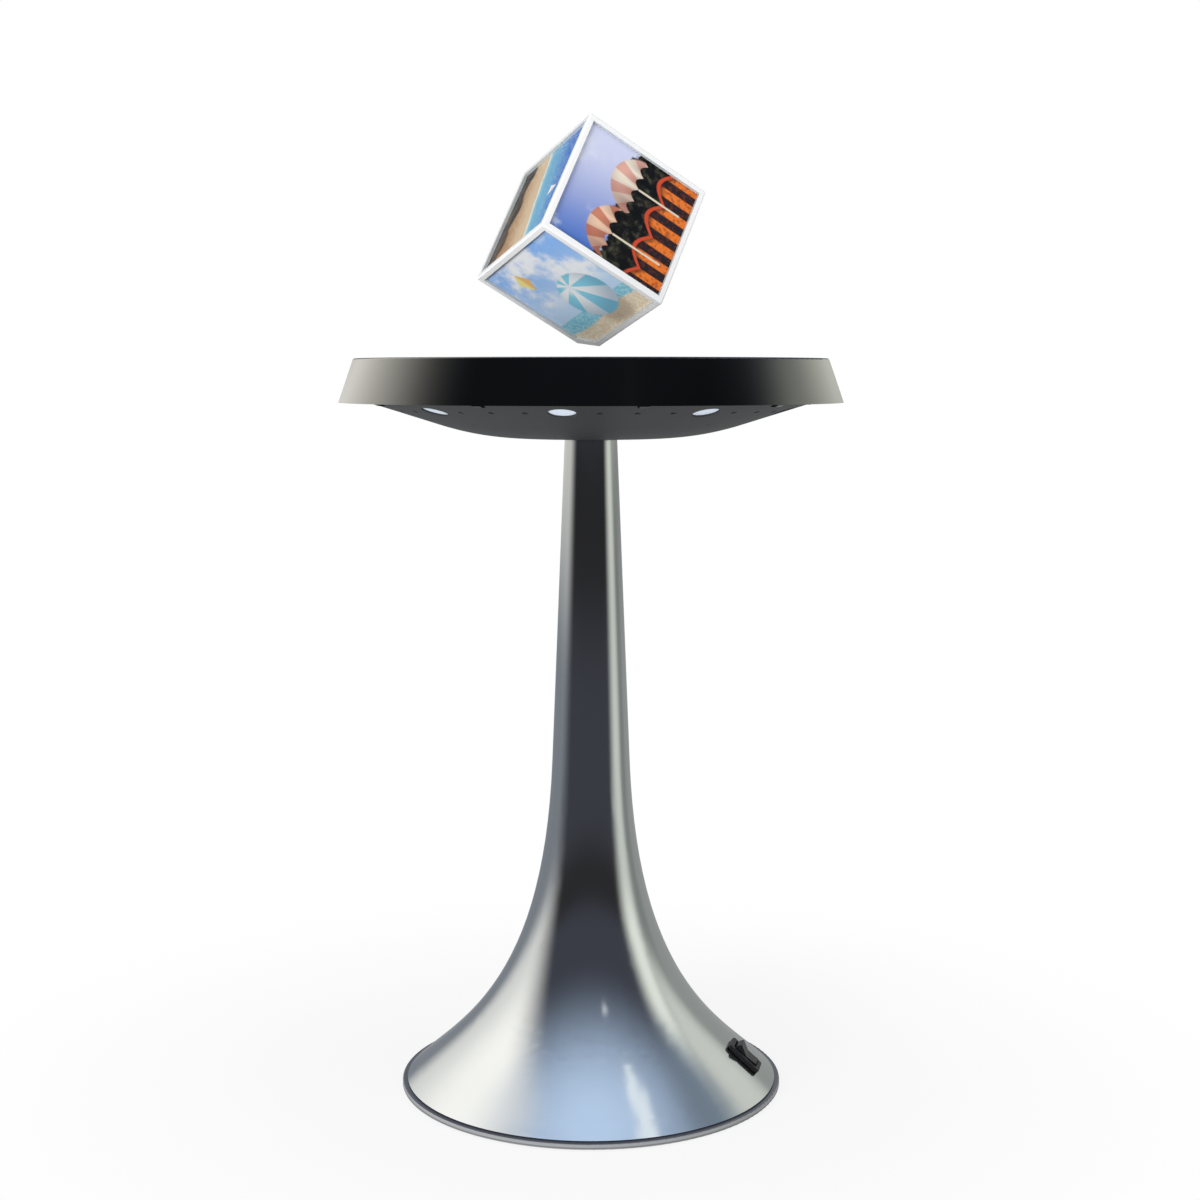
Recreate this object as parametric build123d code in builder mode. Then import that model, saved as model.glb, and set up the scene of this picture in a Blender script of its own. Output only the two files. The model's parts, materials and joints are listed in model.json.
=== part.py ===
from build123d import *
import os
from math import atan2, cos, degrees, radians, sin, sqrt, tan

# A photo cube that floats and turns above a lit disc on a trumpet-shaped stand.
# Millimetres. The floor is z = 0, the stand's axis is x = y = 0, the viewer looks along +Y.

os.makedirs("parts", exist_ok=True)

# Base: a round plate on a rubber ring, with a gasket between it and the trumpet
base_radius = 75.0
base_plate_thickness = 2.1
base_edge_round = 0.5
foot_width = 8.0
foot_margin = 6.0
foot_proud = 0.5
foot_groove = 0.9
gasket_thickness = 0.6
gasket_setback = 1.5
rim_setback = 2.0

# Trumpet: a straight taper below the neck, then one smooth flare down to the rim
shell_wall = 1.6
neck_radius = 10.1
neck_height = 255.6
taper_radius = 15.2
taper_height = 129.4
taper_pull = 83.9
rim_pull = 33.2
rim_slope = 40.1

# Ballast, clamped up into the flare by the tie tube
ballast_height = 22.0
ballast_gap = 0.2
ballast_touch = 0.80
ballast_foot_gap = 6.0
ballast_slot_width = 17.0
ballast_slot_start = 44.0
tie_tube_radius = 5.0
tie_tube_bore = 3.3
tie_hole_gap = 0.2
tie_end = 1.2
tie_floor_gap = 2.0
nut_well_gap = 2.0
nut_across_flats = 15.0
nut_thickness = 5.0
washer_radius = 10.0
washer_thickness = 1.2
bush_length = 12.0
bush_gap = 0.1
base_screw_circle = 32.0
base_screw_radius = 2.0
base_screw_length = 10.0
base_screw_head_radius = 3.6
base_screw_end_gap = 1.0

# Rocker switch on the flare, its long side down the slope
switch_bearing = -12.0
switch_share = 0.893
switch_lift = 0.3
bezel_length = 15.0
bezel_width = 9.8
bezel_thickness = 1.6
bezel_corner_radius = 1.2
bezel_edge_round = 0.4
housing_length = 12.8
housing_width = 8.6
housing_depth = 6.3
housing_floor = 1.5
housing_gap = 0.15
rocker_width = 6.2
rocker_side_gap = 0.25
rocker_radius = 5.4
rocker_end_gap = 0.35
rocker_lobe_angle = 32.0
rocker_dip = 1.5
rocker_tilt = 11.0
pivot_depth = 1.2
pivot_radius = 0.8
pivot_gap = 0.05
terminal_width = 2.8
terminal_thickness = 0.6
terminal_length = 2.2

# Power inlet on the back of the flare
inlet_bearing = 90.0
inlet_flange_radius = 5.5
inlet_flange_thickness = 1.6
inlet_edge_round = 0.5
inlet_barrel_radius = 4.0
inlet_barrel_depth = 8.5
inlet_bore_radius = 3.1
inlet_floor = 1.5
inlet_pin_radius = 1.0
inlet_nut_thickness = 2.0
inlet_nut_across_flats = 11.0

# Dish under the disc, with nine lamp windows and small vents on one circle
dish_wall = 2.0
dish_rim_setback = 11.5
dish_flank_run = 43.5
dish_depth = 13.7
dish_bend_radius = 110.0
flange_thickness = 2.0
lamp_count = 9
lamp_setback = 9.3
lamp_bearing = -97.6
lens_radius = 5.1
lens_gap = 0.1
lens_sink = 0.65
lens_edge_round = 0.35
lens_lip = 1.1
lens_lip_thickness = 0.8
vents_per_gap = 3
vent_radius = 1.1
led_size = 5.0
led_height = 1.6
led_setback = 1.5
board_thickness = 1.6
led_board_gap = 0.6
led_board_width = 12.5
led_board_lift = 3.9
led_post_radius = 1.6
led_post_inset = 1.75

# Black disc: a shallow truncated cone with hooks that snap through the dish's rim
disc_radius = 96.5
disc_top_setback = 5.8
disc_height = 16.6
disc_wall = 2.2
disc_edge_round = 0.9
disc_seat_gap = 0.3
disc_ledge = 1.8
hook_width = 3.4
hook_thickness = 1.8
hook_reach = 1.4
hook_drop = 1.0
hook_slot_gap = 0.35
hook_seat_gap = 0.1

# Levitation unit inside the disc
chassis_thickness = 2.5
chassis_setback = 4.0
chassis_lift = 8.9
chassis_hole_gap = 3.0
ear_setback = 18.7
ear_radius = 4.2
ear_post_margin = 0.7
ear_screw_radius = 1.5
ear_screw_bite = 2.0
ear_screw_end_gap = 0.4
coil_gap = 6.3
coil_height = 10.0
core_radius = 4.0
core_gap = 0.1
core_proud = 0.6
ring_magnet_width = 12.0
ring_magnet_gap = 3.6
ring_magnet_setback = 3.0
control_board_setback = 13.0
control_board_drop = 2.4
control_hole_gap = 1.0
spacer_radius = 3.0
spacer_inset = 8.0
sensor_board_lap = 3.0
sensor_board_hole_radius = 2.0
sensor_size = 3.0
sensor_height = 1.2

# Floating cube, leaning toward the viewer on its blunt lower corner
cube_edge = 54.0
cube_lean = 19.8
cube_turn = 66.5
float_gap = 4.8
frame_wall = 3.4
frame_border = 2.3
frame_round = 0.6
corner_cut = 4.2
window_thickness = 1.2
window_gap = 0.1
photo_thickness = 0.3
photo_gap = 0.05
float_magnet_radius = 12.0
float_magnet_height = 6.0
magnet_gap = 0.05
magnet_drop = 19.0
cup_wall = 3.0
cup_gap = 0.05
cap_thickness = 1.5


def save(piece, name):
    """Label one finished piece and write it to its own STEP file."""
    piece.label = name
    export_step(piece, f"parts/{name}.step")


def outward(bearing):
    """Level unit vector at a bearing, counted from +X."""
    return Vector(1, 0, 0).rotate(Axis.Z, bearing)


def upright(bearing):
    """Plane through the axis whose x runs outward and whose y is up."""
    return Plane((0, 0, 0), x_dir=outward(bearing), z_dir=outward(bearing - 90))


def ring(inner, outer, bottom, height):
    """Plain flat ring about the stand's axis."""
    with BuildPart() as piece:
        with BuildSketch(Plane.XY.offset(bottom)):
            Circle(outer)
            Circle(inner, mode=Mode.SUBTRACT)
        extrude(amount=height)
    return piece.part


def hex_nut(bottom):
    """Thin hexagon nut on the tie tube."""
    with BuildPart() as piece:
        with BuildSketch(Plane.XY.offset(bottom)):
            RegularPolygon(nut_across_flats / 2, 6, major_radius=False)
            Circle(tie_tube_radius, mode=Mode.SUBTRACT)
        extrude(amount=nut_thickness)
    return piece.part


# Levels from the floor up
plate_bottom = foot_proud
plate_top = plate_bottom + base_plate_thickness
rim_height = plate_top + gasket_thickness
rim_radius = base_radius - rim_setback
ballast_top = plate_top + ballast_height

# Outer and inner lines of the trumpet, as (radius, height)
taper_run = Vector(taper_radius - neck_radius, 0, taper_height - neck_height).normalized()
rim_run = Vector(cos(radians(rim_slope)), 0, -sin(radians(rim_slope)))
wall_across = shell_wall / sin(radians(rim_slope))


def flare_points(inset, rim_inset):
    """Four pull points of the flare, moved toward the axis by the given amounts."""
    top = Vector(taper_radius - inset, 0, taper_height)
    rim = Vector(rim_radius - rim_inset, 0, rim_height)
    return [top, top + taper_run * taper_pull, rim - rim_run * rim_pull, rim]


outer_flare = flare_points(0, 0)
inner_flare = flare_points(shell_wall, wall_across)

# Switch and inlet both stand square to the flare at one place on its line
seat_line = Edge.make_bezier(*outer_flare)
seat_point = seat_line.position_at(switch_share)
seat_slope = seat_line.tangent_at(switch_share)


def flare_seat(bearing):
    """Plane on the flare: x down the slope, z straight out of the surface."""
    origin = seat_point.rotate(Axis.Z, bearing)
    slope = seat_slope.rotate(Axis.Z, bearing)
    return Plane(origin, x_dir=slope, z_dir=slope.cross(outward(bearing + 90)))


switch_seat = flare_seat(switch_bearing)
inlet_seat = flare_seat(inlet_bearing)
switch_face = switch_seat.offset(switch_lift)
inlet_face = inlet_seat.offset(switch_lift)

with BuildPart() as trumpet_shell:
    with BuildSketch(Plane.XZ):
        with BuildLine():
            Line((neck_radius, neck_height), (taper_radius, taper_height))
            Bezier(*[(p.X, p.Z) for p in outer_flare])
            Line((rim_radius, rim_height), (rim_radius - wall_across, rim_height))
            Bezier(*[(p.X, p.Z) for p in reversed(inner_flare)])
            Polyline(
                (taper_radius - shell_wall, taper_height),
                (neck_radius - shell_wall, neck_height),
                (neck_radius, neck_height),
            )
        make_face()
    revolve(axis=Axis.Z)
    # Openings for the switch and the inlet
    with BuildSketch(switch_seat.offset(3 * shell_wall)):
        Rectangle(housing_length + 2 * housing_gap, housing_width + 2 * housing_gap)
    extrude(amount=-6 * shell_wall, mode=Mode.SUBTRACT)
    with BuildSketch(inlet_seat.offset(3 * shell_wall)):
        Circle(inlet_barrel_radius + housing_gap)
    extrude(amount=-6 * shell_wall, mode=Mode.SUBTRACT)
save(trumpet_shell.part, "trumpet_shell")

# Base plate with a groove for the foot ring and four countersunk screw holes
foot_outer = base_radius - foot_margin
foot_inner = foot_outer - foot_width
plate_underside = Plane((0, 0, plate_bottom), x_dir=(1, 0, 0), z_dir=(0, 0, -1))
with BuildPart() as base_plate:
    with BuildSketch(Plane.XY.offset(plate_bottom)):
        Circle(base_radius)
    extrude(amount=base_plate_thickness)
    fillet(base_plate.edges().filter_by(GeomType.CIRCLE), base_edge_round)
    with BuildSketch(Plane.XY.offset(plate_bottom)):
        Circle(foot_outer)
        Circle(foot_inner, mode=Mode.SUBTRACT)
    extrude(amount=foot_groove, mode=Mode.SUBTRACT)
    with Locations(plate_underside):
        with PolarLocations(base_screw_circle, 4, 45):
            CounterSinkHole(base_screw_radius, base_screw_head_radius)
save(base_plate.part, "base_plate")

save(ring(foot_inner, foot_outer, 0, foot_proud + foot_groove), "foot_ring")
gasket_outer = rim_radius - gasket_setback
gasket_inner = rim_radius - wall_across - gasket_setback
save(ring(gasket_inner, gasket_outer, plate_top, gasket_thickness), "rim_gasket")

# Ballast: an upright foot inside the gasket, then a cone that just misses the flare's inner face
touch_line = Edge.make_bezier(*inner_flare)
touch = touch_line.position_at(ballast_touch)
touch_run = touch_line.tangent_at(ballast_touch)
flank_lean = touch_run.X / touch_run.Z
flank_gap = ballast_gap / abs(touch_run.Z)


def ballast_radius(height):
    """Radius of the ballast's sloping flank at a height."""
    return touch.X - flank_gap + (height - touch.Z) * flank_lean


ballast_foot = gasket_inner - ballast_foot_gap
ballast_foot_top = touch.Z + (ballast_foot - touch.X + flank_gap) / flank_lean
tie_bottom = plate_top + tie_floor_gap
lower_nut_bottom = tie_bottom + tie_end
lower_washer_bottom = lower_nut_bottom + nut_thickness
lower_seat = lower_washer_bottom + washer_thickness
with BuildPart() as ballast:
    with BuildSketch(Plane.XZ):
        Polygon(
            (tie_tube_radius + tie_hole_gap, plate_top),
            (ballast_foot, plate_top),
            (ballast_foot, ballast_foot_top),
            (ballast_radius(ballast_top), ballast_top),
            (tie_tube_radius + tie_hole_gap, ballast_top),
            align=None,
        )
    revolve(axis=Axis.Z)
    with BuildSketch(Plane.XY.offset(plate_top)):
        Circle(washer_radius + nut_well_gap)
    extrude(amount=lower_seat - plate_top, mode=Mode.SUBTRACT)
    # Bays that leave room behind the switch and the inlet
    slot_length = 2 * (base_radius - ballast_slot_start)
    for bearing in (switch_bearing, inlet_bearing):
        bay = Plane((0, 0, plate_top), x_dir=outward(bearing), z_dir=(0, 0, 1))
        with BuildSketch(bay):
            with Locations((ballast_slot_start + slot_length / 2, 0)):
                Rectangle(slot_length, ballast_slot_width)
        extrude(amount=ballast_height, mode=Mode.SUBTRACT)
    with Locations(plate_underside):
        with PolarLocations(base_screw_circle, 4, 45):
            Hole(base_screw_radius, depth=base_screw_length + base_screw_end_gap)
save(ballast.part, "ballast")

# Four countersunk screws hold the base plate to the ballast
with BuildPart() as base_screws:
    screw_head = base_screw_head_radius - base_screw_radius
    with Locations((0, 0, plate_bottom)):
        with PolarLocations(base_screw_circle, 4, 45):
            Cone(
                base_screw_head_radius,
                base_screw_radius,
                screw_head,
                align=(Align.CENTER, Align.CENTER, Align.MIN),
            )
            Cylinder(
                base_screw_radius,
                base_screw_length,
                align=(Align.CENTER, Align.CENTER, Align.MIN),
            )
    with BuildSketch(Plane.XY.offset(plate_bottom)):
        with PolarLocations(base_screw_circle, 4, 45):
            RegularPolygon(0.75 * base_screw_radius, 6)
    extrude(amount=screw_head, mode=Mode.SUBTRACT)
save(base_screws.part, "base_screws")

# Tie tube through the whole stand, with a nut and washer at each end
dish_floor = neck_height + dish_wall
upper_nut_bottom = dish_floor + washer_thickness
tie_top = upper_nut_bottom + nut_thickness + tie_end
save(ring(tie_tube_bore, tie_tube_radius, tie_bottom, tie_top - tie_bottom), "tie_tube")
save(hex_nut(lower_nut_bottom), "lower_nut")
save(ring(tie_tube_radius, washer_radius, lower_washer_bottom, washer_thickness), "lower_washer")
save(hex_nut(upper_nut_bottom), "upper_nut")
save(ring(tie_tube_radius, washer_radius, dish_floor, washer_thickness), "upper_washer")
bush_radius = neck_radius - shell_wall - bush_gap
save(ring(tie_tube_radius, bush_radius, neck_height - bush_length, bush_length), "neck_bush")

# Switch housing: a bezel on the surface, a box behind it and a well for the rocker
well_length = 2 * (rocker_radius + rocker_end_gap)
well_width = rocker_width + 2 * rocker_side_gap
bezel_top = switch_face.offset(bezel_thickness)
pivot = switch_face.offset(bezel_thickness - pivot_depth)
cross_pivot = Plane(pivot.origin, x_dir=pivot.x_dir, z_dir=pivot.y_dir)
with BuildPart() as switch_housing:
    with BuildSketch(switch_face):
        RectangleRounded(bezel_length, bezel_width, bezel_corner_radius)
    extrude(amount=bezel_thickness)
    bezel_face = switch_housing.faces().sort_by(Axis((0, 0, 0), bezel_top.z_dir))[-1]
    fillet(bezel_face.edges(), bezel_edge_round)
    with BuildSketch(switch_face):
        Rectangle(housing_length, housing_width)
    extrude(amount=-housing_depth)
    with BuildSketch(bezel_top):
        Rectangle(well_length, well_width)
    extrude(amount=-(bezel_thickness + housing_depth - housing_floor), mode=Mode.SUBTRACT)
    with BuildSketch(cross_pivot):
        Circle(pivot_radius)
    extrude(amount=housing_width / 2, both=True, mode=Mode.SUBTRACT)
save(switch_housing.part, "switch_housing")

with BuildPart() as switch_pin:
    with BuildSketch(cross_pivot):
        Circle(pivot_radius)
    extrude(amount=housing_width / 2, both=True)
save(switch_pin.part, "switch_pin")

# Rocker at rest with its uphill end raised
tilt = radians(rocker_tilt)
rocker_run = cross_pivot.x_dir * cos(tilt) + cross_pivot.y_dir * sin(tilt)
rocker_plane = Plane(pivot.origin, x_dir=rocker_run, z_dir=pivot.y_dir)
lobe_x = rocker_radius * cos(radians(rocker_lobe_angle))
lobe_y = rocker_radius * sin(radians(rocker_lobe_angle))
heel_y = -0.3 * rocker_radius
heel_x = sqrt(rocker_radius**2 - heel_y**2)
with BuildPart() as switch_rocker:
    with BuildSketch(rocker_plane):
        with BuildLine():
            Polyline((-lobe_x, -lobe_y), (0, -rocker_dip), (lobe_x, -lobe_y))
            ThreePointArc((lobe_x, -lobe_y), (rocker_radius, 0), (heel_x, -heel_y))
            Line((heel_x, -heel_y), (-heel_x, -heel_y))
            ThreePointArc((-heel_x, -heel_y), (-rocker_radius, 0), (-lobe_x, -lobe_y))
        make_face()
        Circle(pivot_radius + pivot_gap, mode=Mode.SUBTRACT)
    extrude(amount=rocker_width / 2, both=True)
save(switch_rocker.part, "switch_rocker")

with BuildPart() as switch_terminals:
    with BuildSketch(switch_face.offset(-housing_depth)):
        with GridLocations(0.5 * housing_length, 0, 2, 1):
            Rectangle(terminal_thickness, terminal_width)
    extrude(amount=-terminal_length)
save(switch_terminals.part, "switch_terminals")

# Power inlet: a flanged barrel with a blind socket, a centre pin and a back nut
with BuildPart() as power_inlet:
    with BuildSketch(inlet_face):
        Circle(inlet_flange_radius)
    extrude(amount=inlet_flange_thickness)
    flange_face = power_inlet.faces().sort_by(Axis((0, 0, 0), inlet_face.z_dir))[-1]
    fillet(flange_face.edges(), inlet_edge_round)
    with BuildSketch(inlet_face):
        Circle(inlet_barrel_radius)
    extrude(amount=-inlet_barrel_depth)
    with BuildSketch(inlet_face.offset(inlet_flange_thickness)):
        Circle(inlet_bore_radius)
    extrude(
        amount=-(inlet_flange_thickness + inlet_barrel_depth - inlet_floor), mode=Mode.SUBTRACT
    )
save(power_inlet.part, "power_inlet")

with BuildPart() as inlet_pin:
    with BuildSketch(inlet_face.offset(-(inlet_barrel_depth - inlet_floor))):
        Circle(inlet_pin_radius)
    extrude(amount=inlet_barrel_depth - inlet_floor)
save(inlet_pin.part, "inlet_pin")

with BuildPart() as inlet_nut:
    with BuildSketch(inlet_seat.offset(-shell_wall - 2 * switch_lift)):
        RegularPolygon(inlet_nut_across_flats / 2, 6, major_radius=False)
        Circle(inlet_barrel_radius, mode=Mode.SUBTRACT)
    extrude(amount=-inlet_nut_thickness)
save(inlet_nut.part, "inlet_nut")

# Dish: flat floor, one bend, a conical flank and a flange inside the disc's mouth
dish_rim_radius = disc_radius - dish_rim_setback
dish_flat_radius = dish_rim_radius - dish_flank_run
lamp_circle = dish_rim_radius - lamp_setback
ear_circle = lamp_circle - ear_setback
flank = degrees(atan2(dish_depth, dish_rim_radius - dish_flat_radius))
flank_rise = tan(radians(flank))
flange_bottom = neck_height + dish_depth
flange_top = flange_bottom + flange_thickness
inner_corner = dish_flat_radius - dish_wall * tan(radians(flank / 2))
inner_rim = inner_corner + (flange_top - dish_floor) / flank_rise
disc_top = flange_bottom + disc_height
disc_top_radius = disc_radius - disc_top_setback
disc_lean = disc_top_setback / disc_height
disc_wall_across = disc_wall * sqrt(1 + disc_lean**2)


def disc_edge(height, inset):
    """Radius of the disc's sloping side at a height, less an inset."""
    return disc_radius - (height - flange_bottom) * disc_lean - inset


def flank_height(radius):
    """Height of the dish's outer flank at a radius."""
    return neck_height + (radius - dish_flat_radius) * flank_rise


def on_flank(bearing):
    """Plane on the lamp circle of the dish's flank, z pointing out of the surface."""
    out = outward(bearing)
    down = Vector(0, 0, -cos(radians(flank)))
    return Plane(
        out * lamp_circle + Vector(0, 0, flank_height(lamp_circle)),
        x_dir=outward(bearing + 90),
        z_dir=out * sin(radians(flank)) + down,
    )


lamp_pitch = 360 / lamp_count
lamp_bearings = [lamp_bearing + lamp_pitch * k for k in range(lamp_count)]
vent_pitch = lamp_pitch / (vents_per_gap + 1)
vent_steps = range(1, vents_per_gap + 1)
vent_bearings = [b + vent_pitch * k for b in lamp_bearings for k in vent_steps]
hook_bearing = lamp_bearing + lamp_pitch / 2
lamp_planes = [on_flank(b) for b in lamp_bearings]
vent_planes = [on_flank(b) for b in vent_bearings]
hook_outer = dish_rim_radius - hook_slot_gap
hook_middle = hook_outer - hook_thickness / 2
led_board_bottom = flank_height(lamp_circle) + dish_wall + led_board_lift
led_board_outer = hook_outer - hook_thickness - led_board_gap
led_board_inner = led_board_outer - led_board_width
led_post_circle = led_board_inner + led_post_inset
chassis_bottom = neck_height + chassis_lift
with BuildPart() as dish:
    with BuildSketch(Plane.XZ):
        with BuildLine():
            FilletPolyline(
                (tie_tube_radius, neck_height),
                (dish_flat_radius, neck_height),
                (dish_rim_radius, flange_bottom),
                radius=dish_bend_radius,
            )
            Polyline(
                (dish_rim_radius, flange_bottom),
                (disc_edge(flange_bottom, disc_wall_across + disc_seat_gap), flange_bottom),
                (disc_edge(flange_top, disc_wall_across + disc_seat_gap), flange_top),
                (inner_rim, flange_top),
            )
            FilletPolyline(
                (inner_rim, flange_top),
                (inner_corner, dish_floor),
                (tie_tube_radius, dish_floor),
                radius=dish_bend_radius - dish_wall,
            )
            Line((tie_tube_radius, dish_floor), (tie_tube_radius, neck_height))
        make_face()
    revolve(axis=Axis.Z)
    # Posts for the lamp board and for the levitation chassis
    post_foot = flank_height(led_post_circle) + dish_wall / 2
    with BuildSketch(Plane.XY.offset(post_foot)):
        with PolarLocations(led_post_circle, lamp_count, hook_bearing):
            Circle(led_post_radius)
    extrude(amount=led_board_bottom - post_foot)
    ear_foot = flank_height(ear_circle) + dish_wall / 2
    with BuildSketch(Plane.XY.offset(ear_foot)):
        with PolarLocations(ear_circle, 4, 45):
            Circle(ear_radius - ear_post_margin)
    extrude(amount=chassis_bottom - ear_foot)
    # Lamp openings with a flat seat inside, then the vents
    with BuildSketch(*[plane.offset(dish_wall) for plane in lamp_planes]):
        Circle(lens_radius + lens_gap)
    extrude(amount=-3 * dish_wall, mode=Mode.SUBTRACT)
    with BuildSketch(*[plane.offset(-dish_wall) for plane in lamp_planes]):
        Circle(lens_radius + lens_lip + 2 * lens_gap)
    extrude(amount=-dish_wall, mode=Mode.SUBTRACT)
    with BuildSketch(*[plane.offset(dish_wall) for plane in vent_planes]):
        Circle(vent_radius)
    extrude(amount=-3 * dish_wall, mode=Mode.SUBTRACT)
    # Slots that the disc's hooks pass through
    with BuildSketch(Plane.XY.offset(flange_bottom - 2 * dish_wall)):
        with PolarLocations(hook_middle, lamp_count, hook_bearing):
            Rectangle(hook_thickness + 2 * hook_slot_gap, hook_width + 2 * hook_slot_gap)
    extrude(amount=2 * dish_wall + 2 * flange_thickness, mode=Mode.SUBTRACT)
    with BuildSketch(Plane.XY.offset(chassis_bottom)):
        with PolarLocations(ear_circle, 4, 45):
            Circle(ear_screw_radius)
    extrude(amount=-(ear_screw_bite + ear_screw_end_gap), mode=Mode.SUBTRACT)
save(dish.part, "dish")

# Disc: a black cover with a ledge that rests on the flange, and nine hooks
hook_catch = flange_bottom - hook_seat_gap
with BuildPart() as disc_cover:
    with BuildSketch(Plane.XZ):
        Polygon(
            (0, disc_top),
            (disc_top_radius, disc_top),
            (disc_radius, flange_bottom),
            (disc_edge(flange_bottom, disc_wall_across), flange_bottom),
            (disc_edge(flange_top, disc_wall_across), flange_top),
            (disc_edge(flange_top, disc_wall_across + disc_ledge), flange_top),
            (disc_edge(disc_top, disc_wall_across + disc_ledge), disc_top - disc_wall),
            (0, disc_top - disc_wall),
            align=None,
        )
    revolve(axis=Axis.Z)
    fillet(disc_cover.edges().filter_by(GeomType.CIRCLE).group_by(Axis.Z)[-1], disc_edge_round)
    with BuildSketch(*[upright(hook_bearing + lamp_pitch * k) for k in range(lamp_count)]):
        Polygon(
            (hook_outer - hook_thickness, disc_top - disc_wall),
            (hook_outer - hook_thickness, flange_bottom - hook_drop),
            (hook_outer, flange_bottom - hook_drop),
            (hook_outer + hook_reach, hook_catch - 0.3 * hook_drop),
            (hook_outer + hook_reach, hook_catch),
            (hook_outer, hook_catch),
            (hook_outer, disc_top - disc_wall),
            align=None,
        )
    extrude(amount=hook_width / 2, both=True)
save(disc_cover.part, "disc_cover")

# Lamp lenses, each plugged into the dish from inside and a little sunk
for number, plane in enumerate(lamp_planes, start=1):
    with BuildPart() as lens:
        with BuildSketch(plane.offset(-lens_sink)):
            Circle(lens_radius)
        extrude(amount=lens_sink - dish_wall)
        fillet(lens.faces().sort_by(Axis((0, 0, 0), plane.z_dir))[-1].edges(), lens_edge_round)
        with BuildSketch(plane.offset(-dish_wall)):
            Circle(lens_radius + lens_lip)
        extrude(amount=-lens_lip_thickness)
    save(lens.part, f"lamp_lens_{number}")

save(ring(led_board_inner, led_board_outer, led_board_bottom, board_thickness), "lamp_board")
with BuildPart() as lamp_chips:
    with BuildSketch(Plane.XY.offset(led_board_bottom)):
        with PolarLocations(lamp_circle - led_setback, lamp_count, lamp_bearing):
            Rectangle(led_size, led_size)
    extrude(amount=-led_height)
save(lamp_chips.part, "lamp_chips")

# Levitation chassis on four dish posts, with spacers down to its control board
chassis_radius = ear_circle - chassis_setback
control_board_radius = ear_circle - control_board_setback
spacer_circle = control_board_radius - spacer_inset
chassis_top = chassis_bottom + chassis_thickness
control_board_top = chassis_bottom - control_board_drop
with BuildPart() as chassis:
    with BuildSketch(Plane.XY.offset(chassis_bottom)):
        Circle(chassis_radius)
        with PolarLocations(ear_circle, 4, 45):
            Circle(ear_radius)
        Circle(tie_tube_radius + chassis_hole_gap, mode=Mode.SUBTRACT)
        with PolarLocations(ear_circle, 4, 45):
            Circle(ear_screw_radius, mode=Mode.SUBTRACT)
    extrude(amount=chassis_thickness)
    with BuildSketch(Plane.XY.offset(control_board_top)):
        with PolarLocations(spacer_circle, 4, 45):
            Circle(spacer_radius)
    extrude(amount=control_board_drop)
save(chassis.part, "levitation_chassis")

with BuildPart() as chassis_screws:
    with Locations((0, 0, chassis_top)):
        with PolarLocations(ear_circle, 4, 45):
            Cylinder(
                1.8 * ear_screw_radius,
                1.2 * ear_screw_radius,
                align=(Align.CENTER, Align.CENTER, Align.MIN),
            )
            Cylinder(
                ear_screw_radius,
                chassis_thickness + ear_screw_bite,
                align=(Align.CENTER, Align.CENTER, Align.MAX),
            )
save(chassis_screws.part, "chassis_screws")

control_hole = washer_radius + control_hole_gap
control_board_bottom = control_board_top - board_thickness
save(
    ring(control_hole, control_board_radius, control_board_bottom, board_thickness), "control_board"
)
ring_magnet_outer = chassis_radius - ring_magnet_setback
ring_magnet_inner = ring_magnet_outer - ring_magnet_width
save(ring(ring_magnet_inner, ring_magnet_outer, chassis_top, coil_height), "ring_magnet")

# Four wound coils fill the ring, round steel cores, with the sensor board across their tops
coil_reach = ring_magnet_inner - ring_magnet_gap
coil_radius = (coil_reach * sqrt(2) - coil_gap) / (2 + sqrt(2))
coil_circle = coil_reach - coil_radius
for number in range(1, 5):
    with BuildPart() as coil:
        with BuildSketch(Plane.XY.offset(chassis_top)):
            with Locations(outward(90 * number) * coil_circle):
                Circle(coil_radius)
                Circle(core_radius + core_gap, mode=Mode.SUBTRACT)
        extrude(amount=coil_height)
    save(coil.part, f"coil_{number}")
with BuildPart() as coil_cores:
    with BuildSketch(Plane.XY.offset(chassis_top)):
        with PolarLocations(coil_circle, 4):
            Circle(core_radius)
    extrude(amount=coil_height + core_proud)
save(coil_cores.part, "coil_cores")
sensor_board_bottom = chassis_top + coil_height + core_proud
sensor_board_radius = coil_circle + sensor_board_lap
sensor_board = ring(sensor_board_hole_radius, sensor_board_radius, sensor_board_bottom, board_thickness)
save(sensor_board, "sensor_board")
with BuildPart() as field_sensors:
    with BuildSketch(Plane.XY.offset(sensor_board_bottom + board_thickness)):
        with PolarLocations(2 * sensor_size, 3):
            Rectangle(sensor_size, sensor_size)
    extrude(amount=sensor_height)
save(field_sensors.part, "field_sensors")

# Cube directions: three edges rising from the lower corner, leaned toward the viewer
edges_up = []
for k in range(3):
    level = outward(cube_turn + 360 / 3 * k) * sqrt(2 / 3)
    edges_up.append((level + Vector(0, 0, sqrt(1 / 3))).rotate(Axis.X, cube_lean))
half_edge = cube_edge / 2
cut_leg = corner_cut * sqrt(3)
lowest_rise = min(edge.Z for edge in edges_up)
corner_drop = half_edge * sum(edge.Z for edge in edges_up)
cube_centre = disc_top + float_gap + corner_drop - cut_leg * lowest_rise
centre = Vector(0, 0, cube_centre)
cube_frame = Plane(centre, x_dir=edges_up[0], z_dir=edges_up[2])
diagonal = (edges_up[0] + edges_up[1] + edges_up[2]).normalized()
blunt_point = centre - diagonal * (half_edge * sqrt(3) - corner_cut)
blunt_plane = Plane(blunt_point, z_dir=diagonal)

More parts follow.
